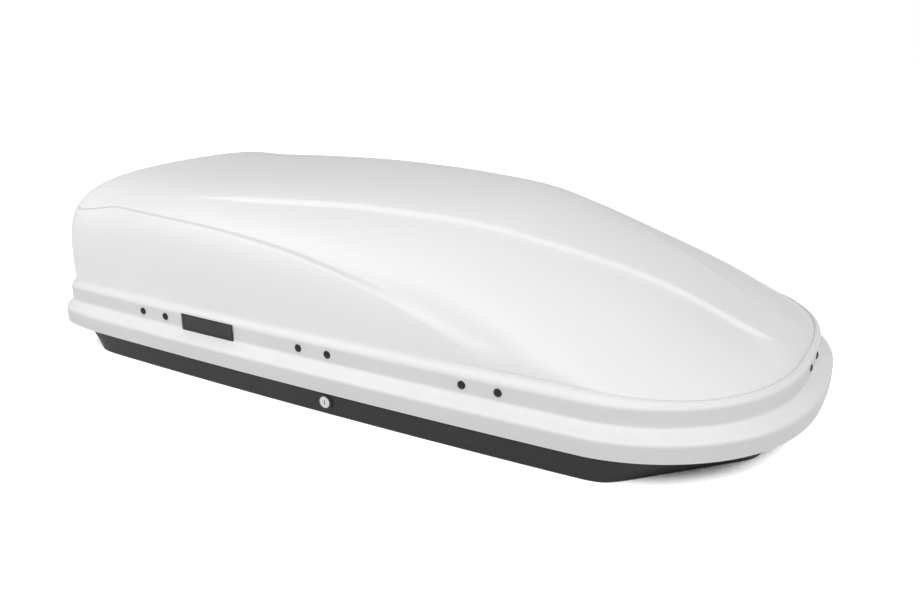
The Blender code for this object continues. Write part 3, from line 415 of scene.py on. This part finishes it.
def half_outline(nose_steps, side_steps, tail_steps):
    """The band in plan from the nose tip round the +Y side to the tail."""
    nose_start = BAND_END - NOSE_LENGTH
    tail_start = TAIL_LENGTH - BAND_TAIL
    turn = np.linspace(0, math.pi / 2, nose_steps + 1)
    nose_x = nose_start + NOSE_LENGTH * np.cos(turn) ** (2 / NOSE_POWERS[0])
    nose_y = band_half(nose_x) * np.sin(turn) ** (2 / NOSE_POWERS[1])
    side_x = np.linspace(nose_start, tail_start, side_steps + 1)[1:-1]
    turn = np.linspace(math.pi / 2, 0, tail_steps + 1)
    tail_x = tail_start - TAIL_LENGTH * np.cos(turn) ** (2 / TAIL_POWERS[0])
    tail_y = band_half(tail_x) * np.sin(turn) ** (2 / TAIL_POWERS[1])
    x = np.concatenate([nose_x, side_x, tail_x])
    return np.column_stack([x, np.concatenate([nose_y, band_half(side_x), tail_y])])


def ramp(value, start, end):
    """0 before start, 1 after end, and an S in between."""
    t = np.clip((value - start) / (end - start), 0.0, 1.0)
    return t * t * (3 - 2 * t)


def offset(points, distance):
    """A half outline moved outwards, with both ends kept on the middle plane."""
    ring = np.vstack([points[1] * (1, -1), points, points[-2] * (1, -1)])
    along = ring[2:] - ring[:-2]
    along /= np.linalg.norm(along, axis=1)[:, None]
    moved = points + np.reshape(distance, (-1, 1)) * np.column_stack([along[:, 1], -along[:, 0]])
    moved[0, 1] = 0.0
    moved[-1, 1] = 0.0
    return moved


def nose_sink(x):
    """How far the foot of the dome lies below the ledge's usual height."""
    return NOSE_SINK * ramp(share_along(x), *NOSE_SINK_FADE)


def skirt_row(outline, out, z):
    """A row of the skirt. It stands out less round the tail, and its ledge sinks at the nose."""
    back = ramp(-outline[:, 0], TAIL_TUCK_START, BAND_TAIL - LEDGE_WIDTH)
    plan = offset(outline, out - max(out, 0.0) * TAIL_TUCK * back)
    return np.column_stack([plan, z - nose_sink(outline[:, 0]) * ramp(z, BAND_TOP, FOOT_Z)])


band = half_outline(40, 56, 32)
print("outline of", len(band), "points a side")

# %% [markdown]
# ## The dome
# Each station along the box has a crown height and a section power: a high power is a boxy section
# with tight shoulders, as at the tail, and a low one is a soft arch, as at the nose. A smooth curve
# through a few stations carries both along the box.

# %% Dome height
CROWN_RISE = 0.204
NOSE_SOFT_FADE = (0.66, 0.90)
TAIL_ARCH = 0.012
CROWN = (
    (0.00, 0.957), (0.08, 0.940), (0.22, 0.950), (0.36, 0.980), (0.50, 0.979), (0.635, 0.910),
    (0.74, 0.703), (0.843, 0.430), (0.913, 0.199), (0.962, 0.061), (0.976, 0.025),
)
SECTION_POWER = (
    (0.00, 5.3), (0.10, 4.0), (0.22, 4.7), (0.43, 3.6), (0.63, 2.6), (0.84, 2.08), (1.00, 1.54),
)


def smooth_curve(stations, where):
    xs = np.array([s[0] for s in stations])
    ys = np.array([s[1] for s in stations])
    slopes = np.gradient(ys, xs)
    where = np.clip(where, xs[0], xs[-1])
    i = np.clip(np.searchsorted(xs, where) - 1, 0, len(xs) - 2)
    step = xs[i + 1] - xs[i]
    t = (where - xs[i]) / step
    rise = ys[i] * (1 + 2 * t) * (1 - t) ** 2 + ys[i + 1] * t**2 * (3 - 2 * t)
    return rise + step * (slopes[i] * t * (1 - t) ** 2 - slopes[i + 1] * t**2 * (1 - t))


def dome_height(x, gauge):
    """gauge runs from 0 on the crown line to 1 at the foot. The nose ends in a soft slope."""
    share = share_along(x)
    power = smooth_curve(SECTION_POWER, share)
    crown = CROWN_RISE * smooth_curve(CROWN, share)
    gauge = np.clip(gauge, 0, 1)
    soft = ramp(share, *NOSE_SOFT_FADE)
    arch = (1 - gauge**power) ** (1 / power)
    return FOOT_Z + crown * (arch + soft * (1 - gauge**3 - arch))


print("crown height", round(float(dome_height(0.0, 0.0)), 4))

# %% [markdown]
# ## Panel edge and crease
# The raised middle panel ends in a small step that catches the light, and a crease runs down the
# side below it, first a fine groove and then a widening ledge. Both are lines on the dome, found
# station by station by halving, so that the rings of the mesh can follow them.

# %% Rings of the dome
PANEL_HALF = (
    (0.05, 0.300), (0.25, 0.262), (0.36, 0.236), (0.47, 0.205), (0.60, 0.177), (0.71, 0.137),
    (0.80, 0.096), (0.87, 0.073), (0.96, 0.056),
)
PANEL_STEP = 0.007
PANEL_STEP_WIDTH = 0.006
PANEL_TAIL_SHARE = 0.89
CREASE_HEIGHT = 0.149
CREASE_TAIL = 0.10
CREASE_NOSE = 0.715
CREASE_POWER = 2.9
VALLEY_DEPTH = 0.007
VALLEY_WIDTH = 0.006
GROOVE_DEPTH = 0.0030
GROOVE_HALF = 0.0016
NOSE_FAN = 0.55
STEP_FADES = ((0.22, 0.36), (0.962, 0.9757))
VALLEY_FADES = ((0.50, 0.62), (0.705, 0.73))
GROOVE_FADES = ((0.02, 0.06), (0.54, 0.64))


def fade(station, fades):
    """Grows from 0 to 1 over the first stretch, and back to 0 over the second."""
    return ramp(station, *fades[0]) * (1 - ramp(station, *fades[1]))


def dome_rings(outline):
    foot = offset(outline, -LEDGE_WIDTH)
    nose_start = BAND_END - NOSE_LENGTH
    tail_start = TAIL_LENGTH - BAND_TAIL
    x = foot[:, 0]
    spine = np.where(x > nose_start, nose_start + (x - nose_start) * NOSE_FAN, np.maximum(x, tail_start))
    tail = x < tail_start
    reach = np.maximum(np.hypot(x - spine, foot[:, 1]), 1e-6)
    power = smooth_curve(SECTION_POWER, share_along(spine))

    def gauge(share, px):
        half = np.maximum(np.interp(px, x[::-1], foot[::-1, 1]), 1e-4)
        return np.where(tail, share, foot[:, 1] * share / half)

    def place(share, drop=0.0, inset=0.0):
        px = spine + (x - spine) * share
        pz = dome_height(px, gauge(share, px)) - drop
        pz -= TAIL_ARCH * ramp(-px, 0.50, 0.70) * (foot[:, 1] * share / BAND_HALF) ** 2
        pull = 1 - inset / reach
        px = spine + (px - spine) * pull
        pz = np.maximum(pz, FOOT_Z) - nose_sink(x) * share**6
        return np.column_stack([px, foot[:, 1] * share * pull, pz])

    def edge_share(test):
        low, high = np.zeros(len(x)), np.ones(len(x))
        for _ in range(40):
            middle = (low + high) / 2
            px = spine + (x - spine) * middle
            outside = test(px, foot[:, 1] * middle, dome_height(px, gauge(middle, px)))
            high = np.where(outside, middle, high)
            low = np.where(outside, low, middle)
        return (low + high) / 2

    def between(outer, inner, t):
        a = np.arccos(np.clip(outer, 0, 1) ** (power / 2))
        b = np.arccos(np.clip(inner, 0, 1) ** (power / 2))
        return np.cos(a + (b - a) * t) ** (2 / power)

    station = share_along(x)
    panel = edge_share(lambda px, py, pz: py > smooth_curve(PANEL_HALF, share_along(px)))
    panel = np.where(tail, PANEL_TAIL_SHARE, np.minimum(panel, 0.90))
    run = np.clip((station - CREASE_TAIL) / (CREASE_NOSE - CREASE_TAIL), 0, 1)
    crease_z = FOOT_Z + CREASE_HEIGHT * (1 - run**CREASE_POWER)
    crease = np.clip(edge_share(lambda px, py, pz: pz < crease_z), panel + 0.04, 0.9992)
    step = PANEL_STEP * fade(station, STEP_FADES)
    valley = VALLEY_DEPTH * fade(station, VALLEY_FADES)
    groove = GROOVE_DEPTH * fade(station, GROOVE_FADES)
    lower_edge = panel + PANEL_STEP_WIDTH / reach
    upper = np.maximum(crease - VALLEY_WIDTH / reach, lower_edge + 0.01)

    one = np.ones(len(x))
    rings = [place(between(one, crease, t)) for t in np.linspace(0.06, 0.96, 14)]
    rings.append(place(crease))
    for part, inset in ((1, groove + valley * 0.35), (2, valley * 0.75)):
        share = np.maximum(crease - part * GROOVE_HALF / reach, crease + (upper - crease) * part / 3)
        rings.append(place(share, inset=inset))
    for t in np.linspace(0.0, 1.0, 18):
        rings.append(place(between(upper, lower_edge, t), drop=step * t, inset=valley * (1 - t) ** 1.5))
    for t in (0.2, 0.4, 0.6, 0.8):
        rings.append(place(lower_edge + (panel - lower_edge) * t, drop=step * (1 - ramp(t, 0, 1))))
    rings += [place(between(panel, 0 * one, t)) for t in np.linspace(0.0, 0.96, 18)]
    rings.append(place(0.0 * one))
    return rings


rings = dome_rings(band)
print("dome of", len(rings), "rings")

# %% [markdown]
# ## The skirt
# Below the dome comes a ledge, then the upright band that the rivets go through, a sloped flare,
# and the lip that hangs over the tray. Vacuum forming leaves soft bends, so each corner of the
# profile is rounded by a few points on an arc. A point close before and after each arc keeps the
# shading of the flat parts flat.

# %% Skirt profile
SKIRT = (
    (0.0250, 0.0510, 0.0015), (0.0250, 0.0795, 0.0050), (0.0000, 0.0915, 0.0045),
    (0.0000, BAND_TOP, 0.0050), (-LEDGE_WIDTH, FOOT_Z, 0.0045),
)
SUPPORT = 0.0004


def rounded(profile, end, steps=4):
    """A profile with each corner turned on its own radius. end is where the last leg points."""
    corners = [np.array(p[:2]) for p in profile] + [np.array(end)]
    made = [corners[0], corners[0] + (0, SUPPORT)]
    for i in range(1, len(profile)):
        before = corners[i - 1] - corners[i]
        after = corners[i + 1] - corners[i]
        cut = min(profile[i][2], np.linalg.norm(before) * 0.45, np.linalg.norm(after) * 0.45)
        before /= np.linalg.norm(before)
        after /= np.linalg.norm(after)
        start = corners[i] + before * cut
        stop = corners[i] + after * cut
        made.append(start + before * SUPPORT)
        for t in np.linspace(0, 1, steps):
            made.append(start * (1 - t) ** 2 + 2 * corners[i] * t * (1 - t) + stop * t**2)
        made.append(stop + after * SUPPORT)
    return made


def shaded_mesh(name, points, faces):
    """A smooth mesh with its doubled points joined and its faces turned outwards."""
    mesh = bpy.data.meshes.new(name)
    mesh.from_pydata(points, [], faces)
    work = bmesh.new()
    work.from_mesh(mesh)
    bmesh.ops.remove_doubles(work, verts=work.verts, dist=1e-6)
    bmesh.ops.recalc_face_normals(work, faces=work.faces)
    work.to_mesh(mesh)
    work.free()
    mesh.shade_smooth()
    return mesh


def sheet_mesh(name, half_rings):
    """A smooth mesh through half rings, each mirrored to a whole ring."""
    points = []
    for ring in half_rings:
        points.extend(np.vstack([ring, ring[-2:0:-1] * (1, -1, 1)]))
    count = 2 * len(half_rings[0]) - 2
    faces = []
    for r in range(len(half_rings) - 1):
        for i in range(count):
            j = (i + 1) % count
            faces.append((r * count + i, r * count + j, (r + 1) * count + j, (r + 1) * count + i))
    return shaded_mesh(name, [tuple(map(float, p)) for p in points], faces)


skirt = rounded(SKIRT, (-0.0100, 0.1450))[:-1]
print("skirt profile of", len(skirt), "points")

# %% [markdown]
# ## The lid in one sheet
# The lid is one sheet, so its inside is the outside moved in by the wall. A Solidify modifier does
# that, with its rim left on to close the lower edge.

# %% Lid
LID_WALL = 0.004


def add(name, mesh, finish, body):
    """Puts a mesh in the scene as a piece that rides on a body."""
    piece = bpy.data.objects.new(name, mesh)
    scene.collection.objects.link(piece)
    piece.data.materials.clear()
    piece.data.materials.append(finish)
    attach(piece, body)
    return piece


lid_rings = [skirt_row(band, out, z) for out, z in skirt] + rings
lid = add("lid_smooth", sheet_mesh("lid_smooth", lid_rings), shell_white, "lid")
thick = lid.modifiers.new("wall", "SOLIDIFY")
thick.thickness = LID_WALL
thick.offset = -1
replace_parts(lid, "lid_shell")
print("lid of", len(lid.data.polygons), "faces")

# %% [markdown]
# ## The outside of the tray
# The tray narrows from its rim to the ground, and its bow and stern have bevelled corners. Five
# walls shape the ground line: the side, both ends and both bevels. A thin fine sheet over the
# packed wall gives the corners their crispness. It has no floor, so the inside stays as packed.

# %% Tray skin
TRAY_RIM = 0.009
TRAY_HIGH = 0.066
BOW = (0.478, 0.655, 46.6)
STERN = (-0.575, -0.653, 48.0)
SPINE_SETBACK = 0.100
SKIN = 0.0006
CORNER_POWER = 44


def ground_line(rim):
    """The tray's outline at the ground, on rays from its spine through the rim.

    A high power blends the walls, so that the nearest one rules and the corners stay crisp.
    """
    ends = []
    for (corner, flat, angle), toward in ((BOW, 1), (STERN, -1)):
        aim = np.array([toward * math.sin(math.radians(angle)), math.cos(math.radians(angle))])
        middle = np.array([corner - toward * SPINE_SETBACK, 0.0])
        ends.append((toward, flat, aim, middle, np.array([corner, float(band_half(corner))])))
    placed = []
    for point in rim:
        spine = np.array([np.clip(point[0], ends[1][3][0], ends[0][3][0]), 0.0])
        ray = point - spine
        walls = [ray[1] / float(band_half(point[0]))]
        for toward, flat, aim, middle, corner in ends:
            walls.append(ray[0] / (flat - spine[0]))
            walls.append(ray @ aim / ((corner - spine) @ aim))
        gauge = sum(max(wall, 0.0) ** CORNER_POWER for wall in walls) ** (1 / CORNER_POWER)
        placed.append(spine + ray / gauge)
    return np.array(placed)


def tray_skin_rings():
    rim = skirt_row(half_outline(90, 60, 60), TRAY_RIM, 0)[:, :2]
    ground = ground_line(rim)
    rings = []
    for drop in (0.0, 0.25, 0.5, 0.75, 0.985, 1.0):
        plan = offset(rim + (ground - rim) * drop, SKIN)
        rings.append(np.column_stack([plan, np.full(len(plan), TRAY_HIGH + (0.004 - TRAY_HIGH) * drop)]))
    for inset, z in ((0.0004, 0.0022), (0.0014, 0.0008), (0.0030, 0.0002), (0.0045, 0.0001)):
        plan = offset(ground, SKIN - inset)
        rings.append(np.column_stack([plan, np.full(len(plan), z)]))
    return rings


tray_skin = add("tray_skin", sheet_mesh("tray_skin", tray_skin_rings()), tray_dark, "tray")
backing = tray_skin.modifiers.new("backing", "SOLIDIFY")
backing.thickness = SKIN * 2
backing.offset = -1
print("tray skin of", len(tray_skin.data.polygons), "faces")

# %% [markdown]
# ## Rivets
# A pop rivet is a shallow dome with a small dimple where its mandrel broke off. Spinning one
# profile gives a round head, and every packed rivet gives the place and the direction of its own.

# %% Rivet heads
RIVET_HEAD = 0.0067
RIVET_HEIGHT = 0.0032
SHARP_ANGLE = 48
RIVET_PROFILE = (
    (0.0, 0.62), (0.16, 0.64), (0.22, 0.80), (0.30, 0.95), (0.42, 0.93), (0.60, 0.80),
    (0.78, 0.60), (0.92, 0.34), (1.0, 0.08), (1.0, 0.0), (0.30, 0.0), (0.30, -2.4),
    (0.52, -2.4), (0.52, -2.8), (0.0, -2.8),
)


def turned(name, profile, turns=28):
    """A mesh turned about +Y from (radius, out) pairs."""
    points, faces = [], []
    for radius, out in profile:
        for i in range(turns):
            angle = 2 * math.pi * i / turns
            points.append((radius * math.cos(angle), out, radius * math.sin(angle)))
    for r in range(len(profile) - 1):
        for i in range(turns):
            j = (i + 1) % turns
            faces.append((r * turns + i, r * turns + j, (r + 1) * turns + j, (r + 1) * turns + i))
    mesh = shaded_mesh(name, points, faces)
    mesh.set_sharp_from_angle(angle=math.radians(SHARP_ANGLE))
    return mesh


def rivet_place(node):
    """The frame of a packed rivet: local +Y points out of the band."""
    low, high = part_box(node)
    middle = (low + high) / 2
    if node.startswith("nose"):
        foot = Matrix.Translation((high.x - RIVET_HEIGHT, middle.y, middle.z))
        return foot @ Matrix.Rotation(-math.pi / 2, 4, "Z")
    side = 1 if middle.y > 0 else -1
    lean = math.atan(-2 * SIDE_BOW * middle.x / BAND_END**2)
    out = (high.y if side > 0 else -low.y) - RIVET_HEIGHT
    turn = lean if side > 0 else math.pi - lean
    return Matrix.Translation((middle.x, side * out, middle.z)) @ Matrix.Rotation(turn, 4, "Z")


rivet_nodes = sorted(name for name in nodes if "_rivet_" in name)
for node in rivet_nodes:
    scaled = [(radius * RIVET_HEAD, out * RIVET_HEIGHT) for radius, out in RIVET_PROFILE]
    mesh = turned(f"{node}_turned", scaled)
    mesh.transform(rivet_place(node))
    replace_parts(add(f"{node}_turned", mesh, rivet_dark, "lid"), node)
print("turned", len(rivet_nodes), "rivets")

# %% [markdown]
# ## Bare plate
# A thin dark plate is stuck on the band between two pairs of rivets. It has a raised rim and
# follows the bow of the side.

# %% Bare plate
PLATE_FROM = -0.326
PLATE_TO = -0.202
PLATE_LOW = 0.0915
PLATE_HIGH = 0.1215
PLATE_PROUD = 0.0012
PLATE_RIM = 0.0035
PLATE_FIELD = 0.72


def plate_mesh():
    """A grid on the band, pushed out, with a raised rim round a lower field."""
    work = bmesh.new()
    across, up = 36, 12
    grid = []
    for i in range(across + 1):
        row = []
        for k in range(up + 1):
            x = PLATE_FROM + (PLATE_TO - PLATE_FROM) * i / across
            z = PLATE_LOW + (PLATE_HIGH - PLATE_LOW) * k / up
            edge = min(x - PLATE_FROM, PLATE_TO - x, z - PLATE_LOW, PLATE_HIGH - z)
            proud = PLATE_PROUD * (1.0 if edge < PLATE_RIM else PLATE_FIELD)
            row.append(work.verts.new((x, -float(band_half(x)) - proud, z)))
        grid.append(row)
    for i in range(across):
        for k in range(up):
            work.faces.new((grid[i][k], grid[i + 1][k], grid[i + 1][k + 1], grid[i][k + 1]))
    mesh = bpy.data.meshes.new("bare_plate")
    work.to_mesh(mesh)
    work.free()
    mesh.shade_smooth()
    return mesh


plate_black = painted_finish("plate_black", (0.007, 0.007, 0.008), 0.30)
plate = add("bare_plate", plate_mesh(), plate_black, "lid")
backing = plate.modifiers.new("backing", "SOLIDIFY")
backing.thickness = PLATE_PROUD
backing.offset = 1
print("plate", round(1000 * (PLATE_TO - PLATE_FROM)), "mm long")

# %% [markdown]
# ## Floor
# The box stands on white paper. To the camera the floor gives back a light of its own, so that it
# stays white all the way back. That light and the paper's colour are darkened where the floor is
# nearly closed in, as under the nose, which paints a narrow shadow there.

# %% Floor
FLOOR_GLOW = 1.0
SHADOW_REACH = 0.12


def floor_finish():
    look = Finish("white_paper_floor")
    camera_ray = look.node("ShaderNodeLightPath", out="Is Camera Ray")
    ray = camera_ray.socket.node.outputs
    seen = camera_ray.at_least(Wire(look, ray["Is Glossy Ray"]))
    seen = seen.at_least(Wire(look, ray["Is Transmission Ray"]))
    # Painted shadow: ambient occlusion darkens both the floor's colour and its glow.
    painted_shadow_openness = look.node("ShaderNodeAmbientOcclusion", None, {"Distance": SHADOW_REACH}, "AO")
    painted_shadow_openness = painted_shadow_openness.between(0.11, 0.28)
    paper = look.mix(look.noise(300.0, 4.0), (0.60, 0.60, 0.60), (0.66, 0.66, 0.66))
    look.wear(Base_Color=look.mix(painted_shadow_openness, (0.05, 0.05, 0.05), paper), Roughness=0.9)
    look.wear(Specular_IOR_Level=0.0)
    glow = look.node("ShaderNodeEmission", None, {"Strength": seen * painted_shadow_openness * FLOOR_GLOW}, "Emission")
    both = look.node("ShaderNodeAddShader", None, {0: Wire(look, look.shader.outputs[0]), 1: glow})
    look.tree.links.new(both.socket, look.tree.nodes["Material Output"].inputs["Surface"])
    return look.material


floor_mesh = bpy.data.meshes.new("floor")
floor_mesh.from_pydata([(-9, -9, 0), (9, -9, 0), (9, 9, 0), (-9, 9, 0)], [], [(0, 1, 2, 3)])
floor = bpy.data.objects.new("floor", floor_mesh)
floor.location.z = -0.0005
floor_mesh.materials.append(floor_finish())
scene.collection.objects.link(floor)
print("floor laid")

# %% [markdown]
# ## World and lamps
# The world is a dim white room that the camera sees as plain white. Large soft lamps do the rest:
# the brightest stands high on the near side, so that the rounded shoulders are brighter than both
# the upright walls and the top.

# %% World and lamps
ROOM_LIGHT = 0.45
LAMPS = (
    ("near_key", 12, 45, 3.4, 37.0, 2.4),
    ("nose_fill", 70, 38, 3.4, 27.0, 2.4),
    ("far_fill", 180, 45, 3.4, 3.0, 2.4),
    ("tail_spot", -40, 42, 1.7, 5.6, 1.0),
)


def make_world():
    world = bpy.data.worlds.new("studio")
    world.use_nodes = True
    tree = world.node_tree
    tree.nodes.clear()
    rays = tree.nodes.new("ShaderNodeLightPath")
    seen = tree.nodes.new("ShaderNodeMath")
    seen.operation = "MAXIMUM"
    both = tree.nodes.new("ShaderNodeMixShader")
    out = tree.nodes.new("ShaderNodeOutputWorld")
    tree.links.new(rays.outputs["Is Camera Ray"], seen.inputs[0])
    tree.links.new(rays.outputs["Is Transmission Ray"], seen.inputs[1])
    tree.links.new(seen.outputs[0], both.inputs[0])
    for slot, strength in ((1, ROOM_LIGHT), (2, 1.0)):
        light = tree.nodes.new("ShaderNodeBackground")
        light.inputs["Color"].default_value = (1, 1, 1, 1)
        light.inputs["Strength"].default_value = strength
        tree.links.new(light.outputs[0], both.inputs[slot])
    tree.links.new(both.outputs[0], out.inputs["Surface"])
    scene.world = world


def softbox(name, turn, rise, away, power, size):
    """A square lamp aimed at the box. turn is degrees from the near side towards the nose."""
    turn, rise = math.radians(turn), math.radians(rise)
    aim = Vector((math.sin(turn) * math.cos(rise), -math.cos(turn) * math.cos(rise), math.sin(rise)))
    lamp = bpy.data.lights.new(name, "AREA")
    lamp.size = size
    lamp.energy = power
    obj = bpy.data.objects.new(name, lamp)
    obj.location = aim * away + Vector((0, 0, 0.15))
    obj.rotation_euler = aim.to_track_quat("Z", "Y").to_euler()
    scene.collection.objects.link(obj)


make_world()
for lamp_values in LAMPS:
    softbox(*lamp_values)
scene.view_settings.view_transform = "Standard"
print("lit by", len(LAMPS), "lamps and the room")
